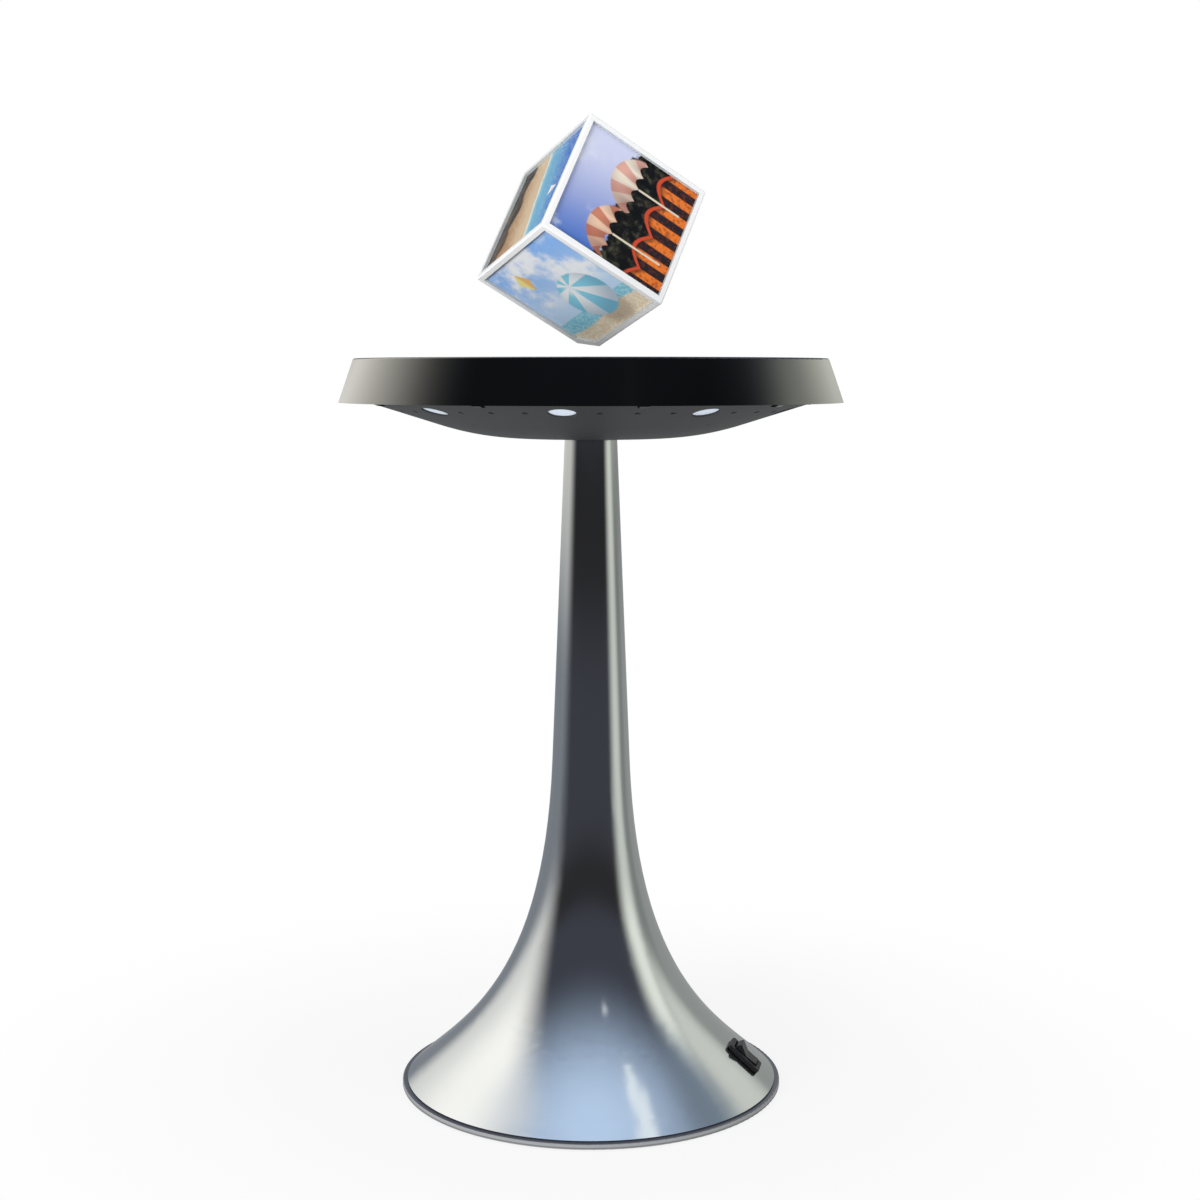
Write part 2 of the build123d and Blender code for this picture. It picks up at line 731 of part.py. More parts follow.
# On lower faces the blunt corner is at the sketch's (-, -) corner
lower_planes = []
upper_planes = []
for k in range(3):
    here = edges_up[k]
    after = edges_up[(k + 1) % 3]
    before = edges_up[(k + 2) % 3]
    lower_planes.append(Plane(centre - here * half_edge, x_dir=before, z_dir=-here))
    upper_planes.append(Plane(centre + here * half_edge, x_dir=after, z_dir=here))
face_planes = lower_planes + upper_planes


def panel(margin, lower):
    """Corners of a picture panel; a lower one has its blunt corner cut off."""
    half = half_edge - margin
    if not lower:
        return [(half, half), (-half, half), (-half, -half), (half, -half)]
    leg = cut_leg + margin * sqrt(2) - 2 * margin
    return [(half, half), (-half, half), (-half, leg - half), (leg - half, -half), (half, -half)]


pocket_depth = window_thickness + photo_thickness + photo_gap
with BuildPart() as envelope:
    with Locations(cube_frame):
        Box(cube_edge, cube_edge, cube_edge)
    fillet(envelope.edges(), frame_round)

# Frame halves: three mitred panels meeting at the lower corner, three at the upper
for name, planes in (("lower", lower_planes), ("upper", upper_planes)):
    with BuildPart() as frame:
        with BuildSketch(*planes):
            Rectangle(cube_edge, cube_edge)
        extrude(amount=-frame_wall, taper=45)
        add(envelope.part, mode=Mode.INTERSECT)
        if name == "lower":
            split(bisect_by=blunt_plane, keep=Keep.TOP)
        for plane in planes:
            with BuildSketch(plane):
                Polygon(*panel(frame_border, name == "lower"), align=None)
            extrude(amount=-pocket_depth, mode=Mode.SUBTRACT)
    save(frame.part, f"cube_frame_{name}")

# A printed card and a clear window lie in each face's pocket
for number, plane in enumerate(face_planes, start=1):
    outline = panel(frame_border + window_gap, number <= 3)
    with BuildPart() as photo:
        with BuildSketch(plane.offset(-pocket_depth)):
            Polygon(*outline, align=None)
        extrude(amount=photo_thickness)
    save(photo.part, f"photo_{number}")
    with BuildPart() as window:
        with BuildSketch(plane.offset(-window_thickness)):
            Polygon(*outline, align=None)
        extrude(amount=window_thickness)
    save(window.part, f"window_{number}")

# Float magnet, level in the lower corner, in a cup that is cut to the frame's walls
magnet_bottom = cube_centre - magnet_drop
magnet_top = magnet_bottom + float_magnet_height
cup_top = magnet_top + 2 * magnet_gap
cup_radius = float_magnet_radius + magnet_gap + cup_wall
inner_edge = cube_edge - 2 * frame_wall - 2 * cup_gap
with BuildPart() as magnet_cup:
    with Locations(cube_frame):
        Box(inner_edge, inner_edge, inner_edge)
    with Locations((0, 0, cup_top)):
        Cylinder(
            cup_radius,
            cube_edge,
            align=(Align.CENTER, Align.CENTER, Align.MAX),
            mode=Mode.INTERSECT,
        )
        Cylinder(
            float_magnet_radius + magnet_gap,
            float_magnet_height + 4 * magnet_gap,
            align=(Align.CENTER, Align.CENTER, Align.MAX),
            mode=Mode.SUBTRACT,
        )
save(magnet_cup.part, "magnet_cup")
with BuildPart() as float_magnet:
    with BuildSketch(Plane.XY.offset(magnet_bottom)):
        Circle(float_magnet_radius)
    extrude(amount=float_magnet_height)
save(float_magnet.part, "float_magnet")
with BuildPart() as magnet_cap:
    with BuildSketch(Plane.XY.offset(cup_top)):
        Circle(cup_radius)
    extrude(amount=cap_thickness)
save(magnet_cap.part, "magnet_cap")
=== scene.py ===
import json
import math

import bpy
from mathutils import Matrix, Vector

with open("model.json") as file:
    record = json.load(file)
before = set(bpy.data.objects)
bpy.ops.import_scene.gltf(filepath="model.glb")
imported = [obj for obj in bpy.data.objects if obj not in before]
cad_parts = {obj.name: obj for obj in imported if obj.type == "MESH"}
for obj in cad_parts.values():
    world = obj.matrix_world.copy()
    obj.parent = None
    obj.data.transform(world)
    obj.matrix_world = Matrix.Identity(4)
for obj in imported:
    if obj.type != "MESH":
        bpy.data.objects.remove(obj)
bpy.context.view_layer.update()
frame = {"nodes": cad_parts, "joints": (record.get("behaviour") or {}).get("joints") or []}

bpy.ops.object.select_all(action="DESELECT")

# Foot ring and rim gasket: two black rubber rings, one pressed into the base plate's groove and
# standing just proud of it, one squeezed between plate and trumpet as a dark line. Moulded, dull,
# with a faint dusty bloom.
dull_black, dusty_black = (0.036, 0.036, 0.042), (0.058, 0.058, 0.064)


class Wire:
    """One socket of a material's nodes. Arithmetic on it adds Math nodes."""

    def __init__(self, tree, socket=None):
        self.tree = tree
        self.socket = socket

    def node(self, kind, settings=None, sockets=None, out=0):
        """Adds any node: its settings first, then values or links for its sockets."""
        made = self.tree.nodes.new("ShaderNode" + kind)
        for name, value in (settings or {}).items():
            setattr(made, name, value)
        for name, value in (sockets or {}).items():
            if isinstance(value, Wire):
                self.tree.links.new(value.socket, made.inputs[name])
            else:
                made.inputs[name].default_value = value
        return Wire(self.tree, made.outputs[out] if made.outputs else None)

    def maths(self, operation, *values):
        """One Math node on these values."""
        return self.node("Math", {"operation": operation}, dict(enumerate(values)))

    def __add__(self, other):
        return self.maths("ADD", self, other)

    def __radd__(self, other):
        return self.maths("ADD", other, self)

    def __sub__(self, other):
        return self.maths("SUBTRACT", self, other)

    def __rsub__(self, other):
        return self.maths("SUBTRACT", other, self)

    def __mul__(self, other):
        return self.maths("MULTIPLY", self, other)

    def __rmul__(self, other):
        return self.maths("MULTIPLY", other, self)

    def __truediv__(self, other):
        return self.maths("DIVIDE", self, other)

    def __abs__(self):
        return self.maths("ABSOLUTE", self)

    def sine(self):
        return self.maths("SINE", self)

    def root(self):
        return self.maths("SQRT", self)

    def most(self, other):
        return self.maths("MAXIMUM", self, other)

    def fade(self, start, end):
        """0 below start, 1 past end, smooth between."""
        return self.node(
            "MapRange", {"interpolation_type": "SMOOTHSTEP"}, {0: self, 1: start, 2: end}
        )

    def below(self, edge, blur):
        """1 below an edge, 0 past it, blurred by this much to each side."""
        return 1.0 - self.fade(edge - blur, edge + blur)

    def grain(self, scale, detail=2.0, rough=0.5):
        """Noise over this vector, from 0 to 1."""
        return self.node(
            "TexNoise", None, {"Vector": self, "Scale": scale, "Detail": detail, "Roughness": rough}
        )

    def between(self, first, second):
        """Colour that goes from first to second as this goes from 0 to 1."""
        first, second = [c if isinstance(c, Wire) else (*c, 1) for c in (first, second)]
        return self.node("Mix", {"data_type": "RGBA"}, {0: self, 6: first, 7: second}, out=2)

    def bump(self, depth, strength=1.0):
        """Normal from this height, with the depth in metres."""
        return self.node("Bump", None, {"Height": self, "Distance": depth, "Strength": strength})

    def along(self, direction):
        """How far this vector reaches along a direction."""
        return self.node("VectorMath", {"operation": "DOT_PRODUCT"}, {0: self, 1: direction}, out=1)


def new_finish(name):
    """An empty material: its Object coordinates and the material itself."""
    material = bpy.data.materials.new(name)
    material.use_nodes = True
    material.node_tree.nodes.clear()
    place = Wire(material.node_tree).node("TexCoord", out="Object")
    return place, material


def dress(nodes, material, surface):
    """Closes a material with its surface and puts it on CAD nodes."""
    surface.node("OutputMaterial", None, {"Surface": surface})
    for name in nodes:
        slots = frame["nodes"][name].data.materials
        slots.clear()
        slots.append(material)


def dress_plain(nodes, material, place, sockets):
    """Dresses CAD nodes in a material that is one Principled shader."""
    dress(nodes, material, place.node("BsdfPrincipled", None, sockets))


place, rubber = new_finish("black rubber")
bloom = place.grain(scale=90.0, detail=4.0)
speck = place.grain(scale=1800.0)
dress_plain(["foot_ring", "rim_gasket"], rubber, place, {
    "Base Color": bloom.between(dull_black, dusty_black),
    "Roughness": 0.62 + 0.2 * bloom,
    "Normal": speck.bump(depth=0.00002, strength=0.5),
})

# Base plate: a round aluminium plate, turned and then blasted with fine beads to an even pale satin.
# A darker band is painted round its edge as painted shade low down. Its upper face, where the gasket
# and the flare stand, is painted dark blue-grey as painted shade under the flare's rim, and four
# screws hold the ballast to it.
satin_dim, satin_pale = (0.41, 0.415, 0.425), (0.47, 0.475, 0.48)
shade_band_grey, under_rim_shade_blue = (0.25, 0.255, 0.265), (0.105, 0.112, 0.145)
shade_band_low, shade_band_high, shade_band_blur = 0.000825, 0.001475, 0.000075
under_rim_shade_edge, under_rim_shade_blur = 0.00248, 0.00008
place, beaded = new_finish("beaded aluminium")
beads = place.grain(scale=3800.0)
cloudy = place.grain(scale=40.0, detail=3.0)
level = place.along((0, 0, 1))
# Painted shade: a darker band round the plate's edge, low down.
line = level.fade(shade_band_low - shade_band_blur, shade_band_low + shade_band_blur) * level.below(shade_band_high, shade_band_blur)
satin = line.between(cloudy.between(satin_dim, satin_pale), shade_band_grey)
# Painted shade: the upper face, under the flare's rim, is painted dark blue-grey.
shaded_upper_face = level.fade(under_rim_shade_edge - under_rim_shade_blur, under_rim_shade_edge + under_rim_shade_blur)
dress_plain(["base_plate"], beaded, place, {
    "Base Color": shaded_upper_face.between(satin, under_rim_shade_blue),
    "Metallic": 0.45 - 0.45 * shaded_upper_face,
    "Roughness": 0.38 + 0.12 * beads - 0.18 * shaded_upper_face,
    "Normal": beads.bump(depth=0.00001, strength=0.4),
})

# Trumpet: one flared aluminium stem, spun on a lathe over a former and polished. Fine lathe rings
# run round it and hold a little haze, and painted shade darkens the slim neck toward the disc.
hazy_metal, clear_metal, neck_shade_metal = (0.68, 0.685, 0.69), (0.73, 0.735, 0.74), (0.56, 0.56, 0.555)
neck_foot, neck_top = 0.15, 0.25
ring_rate = 2600.0
place, aluminium = new_finish("spun aluminium")
height = place.along((0, 0, 1))
rings = place.node("TexNoise", {"noise_dimensions": "1D"}, {"W": height * ring_rate, "Detail": 3.0})
haze = place.grain(scale=26.0, detail=3.0)
polished = haze.between(hazy_metal, clear_metal)
# Painted shade: the base colour turns darker up the neck, toward the disc.
dress_plain(["trumpet_shell"], aluminium, place, {
    "Base Color": height.fade(neck_foot, neck_top).between(polished, neck_shade_metal),
    "Metallic": 1.0,
    "Roughness": 0.07 + 0.05 * rings + 0.05 * haze,
    "Normal": rings.bump(depth=0.000004, strength=0.4),
})

# Ballast: a heavy iron cone, cast rough and painted black, that the tie tube clamps up into the
# flare. It has bays behind the switch and the inlet.
paint_dark, paint_worn = (0.035, 0.035, 0.038), (0.075, 0.075, 0.08)
place, iron = new_finish("painted cast iron")
cast = place.grain(scale=420.0, detail=6.0, rough=0.6)
dress_plain(["ballast"], iron, place, {
    "Base Color": cast.between(paint_dark, paint_worn),
    "Roughness": 0.55 + 0.25 * cast,
    "Normal": cast.bump(depth=0.0002, strength=0.6),
})

# Tie tube, nuts, washers, screws and pins: steel with a bright zinc plating that has dulled in
# patches. The tube clamps plate, ballast, trumpet and dish together.
zinc_dull, zinc_bright = (0.50, 0.51, 0.52), (0.62, 0.62, 0.60)
steel_pieces = [
    "tie_tube", "lower_nut", "lower_washer", "upper_nut", "upper_washer", "base_screws",
    "switch_pin", "inlet_pin", "inlet_nut", "chassis_screws", "coil_cores",
]
place, steel = new_finish("zinc plated steel")
patch = place.grain(scale=240.0, detail=4.0)
dress_plain(steel_pieces, steel, place, {
    "Base Color": patch.between(zinc_dull, zinc_bright),
    "Metallic": 1.0,
    "Roughness": 0.25 + 0.2 * patch,
})

# Neck bush: a turned ring of natural nylon that keeps the tie tube in the middle of the neck.
# Cream, waxy, a little see-through in life.
cream_deep, cream_pale = (0.66, 0.63, 0.55), (0.74, 0.71, 0.64)
place, nylon = new_finish("natural nylon")
waxy = place.grain(scale=160.0, detail=3.0)
dress_plain(["neck_bush"], nylon, place, {
    "Base Color": waxy.between(cream_deep, cream_pale),
    "Roughness": 0.4 + 0.15 * waxy,
})

# Switch and power inlet: moulded black nylon with a fine spark-eroded grain. The switch sits in an
# opening low on the flare, and a nut inside holds the inlet at the back. The rocker is smoother, and
# polished by thumbs.
nylon_dark, nylon_worn = (0.010, 0.010, 0.011), (0.018, 0.018, 0.019)
rocker_dark, rocker_worn = (0.008, 0.008, 0.009), (0.014, 0.014, 0.015)
place, black_nylon = new_finish("black nylon")
spark = place.grain(scale=5200.0, detail=3.0)
dress_plain(["switch_housing", "power_inlet"], black_nylon, place, {
    "Base Color": spark.between(nylon_dark, nylon_worn),
    "Roughness": 0.36 + 0.16 * spark,
    "Normal": spark.bump(depth=0.00003, strength=0.5),
})
place, rocker = new_finish("polished rocker")
thumb = place.grain(scale=700.0, detail=3.0)
dress_plain(["switch_rocker"], rocker, place, {
    "Base Color": thumb.between(rocker_dark, rocker_worn),
    "Roughness": 0.2 + 0.15 * thumb,
})

# Switch terminals: two brass blades stamped from strip and pressed into the back of the switch
# housing, where the wires push on. Bare metal, with a light tarnish.
brass_dull, brass_bright = (0.50, 0.33, 0.11), (0.68, 0.49, 0.20)
place, brass = new_finish("stamped brass")
tarnish = place.grain(scale=500.0, detail=4.0)
dress_plain(["switch_terminals"], brass, place, {
    "Base Color": tarnish.between(brass_dull, brass_bright),
    "Metallic": 1.0,
    "Roughness": 0.25 + 0.2 * tarnish,
})

# Dish: a grey moulded bowl under the disc, painted satin, with seats for the lamps, small round
# vents and slots for the disc's hooks. The paint has a fine even tooth.
grey_dark, grey_light = (0.030, 0.030, 0.031), (0.038, 0.038, 0.039)
place, grey_paint = new_finish("satin grey paint")
tooth = place.grain(scale=3200.0)
drift = place.grain(scale=14.0)
dress_plain(["dish"], grey_paint, place, {
    "Base Color": drift.between(grey_dark, grey_light),
    "Roughness": 0.40 + 0.08 * tooth,
    "Specular IOR Level": 0.3,
    "Normal": tooth.bump(depth=0.00001, strength=0.4),
})

# Lamp lenses: nine frosted acrylic plugs pushed into the dish from inside and a little sunk, each
# softly and evenly lit by the chip behind it.
lens_blue, lens_pale = (0.50, 0.55, 0.62), (0.58, 0.63, 0.70)
glow_blue, glow_pale = (0.62, 0.72, 0.88), (0.72, 0.80, 0.92)
lens_count = 9
place, frosted = new_finish("frosted lit acrylic")
frost = place.grain(scale=2600.0)
dress_plain([f"lamp_lens_{k}" for k in range(1, lens_count + 1)], frosted, place, {
    "Base Color": frost.between(lens_blue, lens_pale),
    "Roughness": 0.22 + 0.15 * frost,
    "Emission Color": frost.between(glow_blue, glow_pale),
    "Emission Strength": 0.25,
})

# Circuit boards and lamp chips: green lacquered glass board, for the lamps, the levitation control
# and the field sensors, with copper tracks that show faintly. The chips are moulded, with yellow domes.
board_green, track_green = (0.012, 0.11, 0.05), (0.05, 0.22, 0.09)
dome_yellow, dome_pale = (0.80, 0.74, 0.42), (0.88, 0.86, 0.72)
place, board = new_finish("green circuit board")
tracks = place.node(
    "TexBrick", {"offset": 0.5, "squash": 1.0},
    {"Vector": place, "Scale": 160.0, "Mortar Size": 0.03, "Bias": -0.2}, out=1,
)
dress_plain(["lamp_board", "control_board", "sensor_board"], board, place, {
    "Base Color": tracks.between(board_green, track_green),
    "Roughness": 0.25 + 0.1 * tracks,
})
place, chip = new_finish("lamp chip")
dome = place.grain(scale=900.0)
dress_plain(["lamp_chips"], chip, place, {
    "Base Color": dome.between(dome_yellow, dome_pale),
    "Roughness": 0.3 + 0.1 * dome,
})

# Levitation unit: a black moulded chassis, screwed to posts in the dish, that carries a ferrite ring,
# four coils of enamelled copper wire on steel cores and the sensor packages.
chassis_dark, chassis_pale = (0.022, 0.022, 0.023), (0.036, 0.036, 0.038)
ferrite_dark, ferrite_pale = (0.035, 0.035, 0.038), (0.065, 0.065, 0.07)
copper_dark, copper_bright = (0.34, 0.11, 0.04), (0.62, 0.25, 0.10)
coil_count, turn_rate = 4, 9000.0
place, moulding = new_finish("black moulding")
flow = place.grain(scale=200.0, detail=3.0)
dress_plain(["levitation_chassis", "field_sensors"], moulding, place, {
    "Base Color": flow.between(chassis_dark, chassis_pale),
    "Roughness": 0.45 + 0.15 * flow,
})
place, ferrite = new_finish("ground ferrite")
ground = place.grain(scale=900.0, detail=5.0)
dress_plain(["ring_magnet"], ferrite, place, {
    "Base Color": ground.between(ferrite_dark, ferrite_pale),
    "Roughness": 0.5 + 0.2 * ground,
})
place, copper = new_finish("enamelled copper wire")
turns = (turn_rate * place.along((0, 0, 1))).sine()
dress_plain([f"coil_{k}" for k in range(1, coil_count + 1)], copper, place, {
    "Base Color": (0.5 + 0.5 * turns).between(copper_dark, copper_bright),
    "Metallic": 0.8,
    "Roughness": 0.3 + 0.1 * turns,
    "Normal": turns.bump(depth=0.0001, strength=0.5),
})

# Disc: one black moulded cover whose hooks snap through the dish's rim. Its top is lacquered to a
# clear gloss with a trace of orange peel. Its sloping rim is buffed, so it is black face on and
# turns to a warm satin sheen where it curves away.
black_deep, black_smeared = (0.0010, 0.0010, 0.0011), (0.0018, 0.0018, 0.0019)
sheen_warm = (0.54, 0.52, 0.485, 1)
rim_start, rim_full = 0.0898, 0.0906
place, black_gloss = new_finish("polished black")
peel = place.grain(scale=320.0)
smear = place.grain(scale=18.0, detail=3.0)
across, deep = place.along((1, 0, 0)), place.along((0, 1, 0))
rim = (across * across + deep * deep).root().fade(rim_start, rim_full)
lacquered = place.node("BsdfPrincipled", None, {
    "Base Color": smear.between(black_deep, black_smeared),
    "Roughness": 0.16 + 0.08 * smear,
    "Specular IOR Level": 0.15,
    "Coat Weight": 1.0 - rim,
    "Coat Roughness": 0.08,
    "Normal": peel.bump(depth=0.00003, strength=0.15),
})
buffed = place.node("BsdfPrincipled", None, {
    "Base Color": sheen_warm,
    "Metallic": 1.0,
    "Roughness": 0.22 + 0.08 * smear,
})
glancing = place.node("LayerWeight", None, {"Blend": 0.5}, out="Facing")
sheen = rim * glancing.fade(0.15, 0.95)
dress(
    ["disc_cover"], black_gloss,
    place.node("MixShader", None, {0: sheen, 1: lacquered, 2: buffed}),
)

# Cube frame: two white glossy mouldings of three panels each, joined at the cube's edges, with a
# narrow border round every picture and a blunt lower corner.
white_cool, white_warm = (0.83, 0.84, 0.85), (0.88, 0.88, 0.88)
place, white = new_finish("white gloss moulding")
mould = place.grain(scale=60.0, detail=3.0)
dress_plain(["cube_frame_lower", "cube_frame_upper"], white, place, {
    "Base Color": mould.between(white_cool, white_warm),
    "Roughness": 0.2 + 0.12 * mould,
})

# Photo cards: colour prints on satin card of made-up seaside and country scenes, one behind each window.
# Each is drawn in its own square, from -1 to 1 both ways, with the picture's top at v = 1.
cube_half, frame_border, window_gap = 0.027, 0.0023, 0.0001
magnet_drop = 0.019
window_half = cube_half - frame_border - window_gap
joints = {joint["name"]: joint for joint in frame["joints"]}
rising = [-Vector(joints[f"window_{k}_release"]["axis"]) for k in (1, 2, 3)]
cube_middle = Vector((0, 0, joints["cube_spin"]["pos_m"][2] + magnet_drop))


def print_square(name, right, up):
    """A new print: its u and v across the card, its coordinates and its material."""
    place, material = new_finish(name)
    u = (place.along(right) - cube_middle.dot(right)) * (1 / window_half)
    v = (place.along(up) - cube_middle.dot(up)) * (1 / window_half)
    return u, v, place, material


def print_on(node, place, material, colour):
    """Puts a picture on its card, with the satin of printed paper."""
    fibre = place.grain(scale=2400.0, detail=3.0)
    dress_plain([node], material, place, {
        "Base Color": colour,
        "Roughness": 0.42 + 0.15 * fibre,
        "Specular IOR Level": 0.25,
    })


def spot(u, v, middle_u, middle_v, radius, blur=0.03):
    """1 inside a round spot, 0 outside."""
    reach = ((u - middle_u) * (u - middle_u) + (v - middle_v) * (v - middle_v)).root()
    return reach.below(radius, blur)


def wedges(u, v, middle_u, middle_v, count):
    """Stripes that run out from a middle, 0 and 1 in turn."""
    angle = u.maths("ARCTAN2", v - middle_v, u - middle_u)
    return (angle * (count / 2)).sine().fade(-0.15, 0.15)


# Lower print: a striped beach ball on the sand before the sea, under a light blue sky with soft
# clouds and one small kite. Printed on a card that the lower window holds in its pocket.
horizon, sand_top = -0.44, -0.69
kite_u, kite_v, kite_size = -0.52, 0.52, 0.22
ball, ball_shadow = (0.16, -0.26, 0.50, 0.02), (0.25, -0.70, 0.34, 0.14)
ball_light, ball_gleam = (0.04, -0.06, 0.40, 0.30), (0.0, -0.05, 0.10, 0.09)
button_u, button_v, panel_count = 0.04, 0.02, 12
u, v, place, paper = print_square("print of a beach ball", rising[2], rising[1])
puff = place.grain(scale=60.0, detail=5.0, rough=0.6)
sparkle = place.grain(scale=900.0, detail=3.0)
colour = v.fade(-0.7, 1.0).between((0.62, 0.79, 0.97), (0.27, 0.50, 0.92))
clouds = puff.fade(0.44, 0.62) * v.fade(-0.35, 0.1)
colour = clouds.between(colour, (0.95, 0.96, 0.98))
sea = sparkle.fade(0.35, 0.75).between((0.22, 0.58, 0.74), (0.52, 0.82, 0.90))
colour = v.below(horizon, 0.02).between(colour, sea)
dune = (v - 0.05 * (3.0 * u).sine()).below(sand_top, 0.03)
sand = sparkle.fade(0.3, 0.7).between((0.84, 0.66, 0.44), (0.98, 0.88, 0.70))
colour = dune.between(colour, sand)
kite = (abs(u - kite_u) * 1.5 + abs(v - kite_v)).below(kite_size, 0.02)
kite_sides = (u - kite_u).fade(-0.02, 0.02).between((0.95, 0.80, 0.30), (0.86, 0.52, 0.20))
colour = kite.between(colour, kite_sides)
colour = (0.55 * spot(u, v, *ball_shadow)).between(colour, (0.28, 0.20, 0.14))
stripes = wedges(u, v, button_u, button_v, panel_count)
panels = stripes.between((0.30, 0.72, 0.88), (0.97, 0.98, 0.98))
panels = (0.55 * (1.0 - spot(u, v, *ball_light))).between(panels, (0.10, 0.26, 0.42))
panels = (0.8 * spot(u, v, *ball_gleam)).between(panels, (1.0, 1.0, 1.0))
colour = spot(u, v, *ball).between(colour, panels)
button = spot(u, v, button_u, button_v, radius=0.05, blur=0.02)
colour = button.between(colour, (0.90, 0.93, 0.94))
print_on("photo_1", place, paper, colour)

# Hidden lower prints: a meadow with two hills and a low sun, and one flower seen close. They lie in
# the two pockets that face down and away from the viewer.
low_sun = (0.42, 0.30, 0.17)
u, v, place, paper = print_square("print of a meadow", rising[0], rising[2])
grass = place.grain(scale=320.0, detail=4.0, rough=0.65)
colour = v.fade(-0.2, 1.0).between((0.82, 0.72, 0.52), (0.24, 0.44, 0.72))
colour = spot(u, v, *low_sun).between(colour, (0.95, 0.88, 0.62))
far_hill = (v - 0.20 * (2.6 * u + 0.6).sine()).below(0.035, 0.015)
colour = far_hill.between(colour, grass.between((0.16, 0.30, 0.20), (0.26, 0.42, 0.26)))
near_hill = (v + 0.24 * (1.9 * u + 0.3).sine()).below(-0.32, 0.02)
colour = near_hill.between(colour, grass.between((0.10, 0.26, 0.05), (0.34, 0.50, 0.12)))
cells = place.node("TexVoronoi", None, {"Vector": place, "Scale": 300.0, "Randomness": 1.0})
daisies = near_hill * cells.below(0.19, 0.03)
colour = daisies.between(colour, (0.86, 0.80, 0.72))
print_on("photo_2", place, paper, colour)
petals, petal_foot, petal_swell, heart_radius = 8, 0.48, 0.30, 0.22
u, v, place, paper = print_square("print of a flower", rising[1], rising[0])
foliage = place.grain(scale=80.0, detail=3.0)
colour = foliage.fade(0.35, 0.65).between((0.04, 0.14, 0.05), (0.22, 0.38, 0.12))
out_from_heart = (u * u + v * v).root()
lobe = abs((u.maths("ARCTAN2", v, u) * (petals / 2)).sine())
flower = (out_from_heart - petal_swell * lobe).below(petal_foot, 0.02)
petal_tint = out_from_heart.fade(0.1, 0.75).between((0.60, 0.22, 0.06), (0.90, 0.66, 0.24))
colour = flower.between(colour, petal_tint)
heart = out_from_heart.below(heart_radius, 0.02)
colour = heart.between(colour, foliage.between((0.10, 0.05, 0.02), (0.30, 0.16, 0.04)))
print_on("photo_3", place, paper, colour)

# Upper back print: a lake under two peaks, with the peaks mirrored in the water. It lies in the
# pocket that faces up and away from the viewer.
lake_shore = -0.15
tall_peak_u, low_peak_u = -0.30, 0.52
u, v, place, paper = print_square("print of a lake", rising[1], rising[2])
crag = place.grain(scale=180.0, detail=5.0, rough=0.65)
rise = abs(v - lake_shore)
colour = rise.fade(0.0, 1.1).between((0.62, 0.72, 0.80), (0.16, 0.34, 0.62))
tall_peak = (rise + 0.85 * abs(u - tall_peak_u) + 0.12 * crag).below(0.795, 0.015)
colour = tall_peak.between(colour, crag.between((0.12, 0.15, 0.20), (0.30, 0.33, 0.38)))
snow = tall_peak * (rise + 0.15 * crag).fade(0.54, 0.58)
colour = snow.between(colour, (0.84, 0.87, 0.90))
low_peak = (rise + 0.62 * abs(u - low_peak_u) + 0.10 * crag).below(0.515, 0.015)
colour = low_peak.between(colour, crag.between((0.05, 0.13, 0.10), (0.13, 0.24, 0.16)))
ripple = (70.0 * v + 5.0 * crag).sine()
water = v.below(lake_shore, 0.01) * (0.35 + 0.15 * ripple)
colour = water.between(colour, (0.08, 0.22, 0.32))
print_on("photo_4", place, paper, colour)

# Left print: a shore seen from above, from dark rocks over sand and shallows to deep water, with
# one small sail. Its top lies along the edge toward the viewer.
waterline, surf_half, surf_blur, rock_edge = 0.02, 0.0424, 0.0212, -0.53
sail_u, sail_foot, sail_head = 0.10, 0.52, 0.72
u, v, place, paper = print_square("print of a shore", -rising[0], rising[2])
wash = place.grain(scale=120.0, detail=5.0, rough=0.6)
glitter = place.grain(scale=800.0, detail=3.0).fade(0.5, 0.68)
depth = v - 0.22 * u + 0.16 * (wash - 0.5)
colour = depth.fade(0.25, 0.85).between((0.16, 0.45, 0.68), (0.06, 0.20, 0.60))
shallows = depth.below(0.14, 0.12)
colour = shallows.between(colour, (0.34, 0.66, 0.74))
sea_glints = 0.35 * glitter * depth.fade(0.1, 0.5)
colour = sea_glints.between(colour, (0.80, 0.92, 0.98))
surf = abs(depth - waterline).below(surf_half, surf_blur)
colour = surf.between(colour, (0.92, 0.94, 0.92))
damp_sand = depth.fade(-0.75, -0.1).between((0.44, 0.23, 0.10), (0.74, 0.55, 0.35))
beach = (0.4 * glitter).between(damp_sand, (0.94, 0.80, 0.60))
colour = depth.below(waterline, 0.04).between(colour, beach)
rocks = (v + 0.24 * wash + 0.05 * (9.0 * u).sine()).below(rock_edge, 0.05)
rock_tint = wash.fade(0.35, 0.7).between((0.012, 0.008, 0.006), (0.12, 0.07, 0.04))
colour = rocks.between(colour, rock_tint)
sail = (abs(u - sail_u) + 0.45 * (v - sail_foot)).below(0.10, 0.01)
sail = sail * v.fade(sail_foot - 0.02, sail_foot + 0.01) * v.below(sail_head, 0.02)
colour = sail.between(colour, (0.95, 0.95, 0.94))
print_on("photo_5", place, paper, colour)

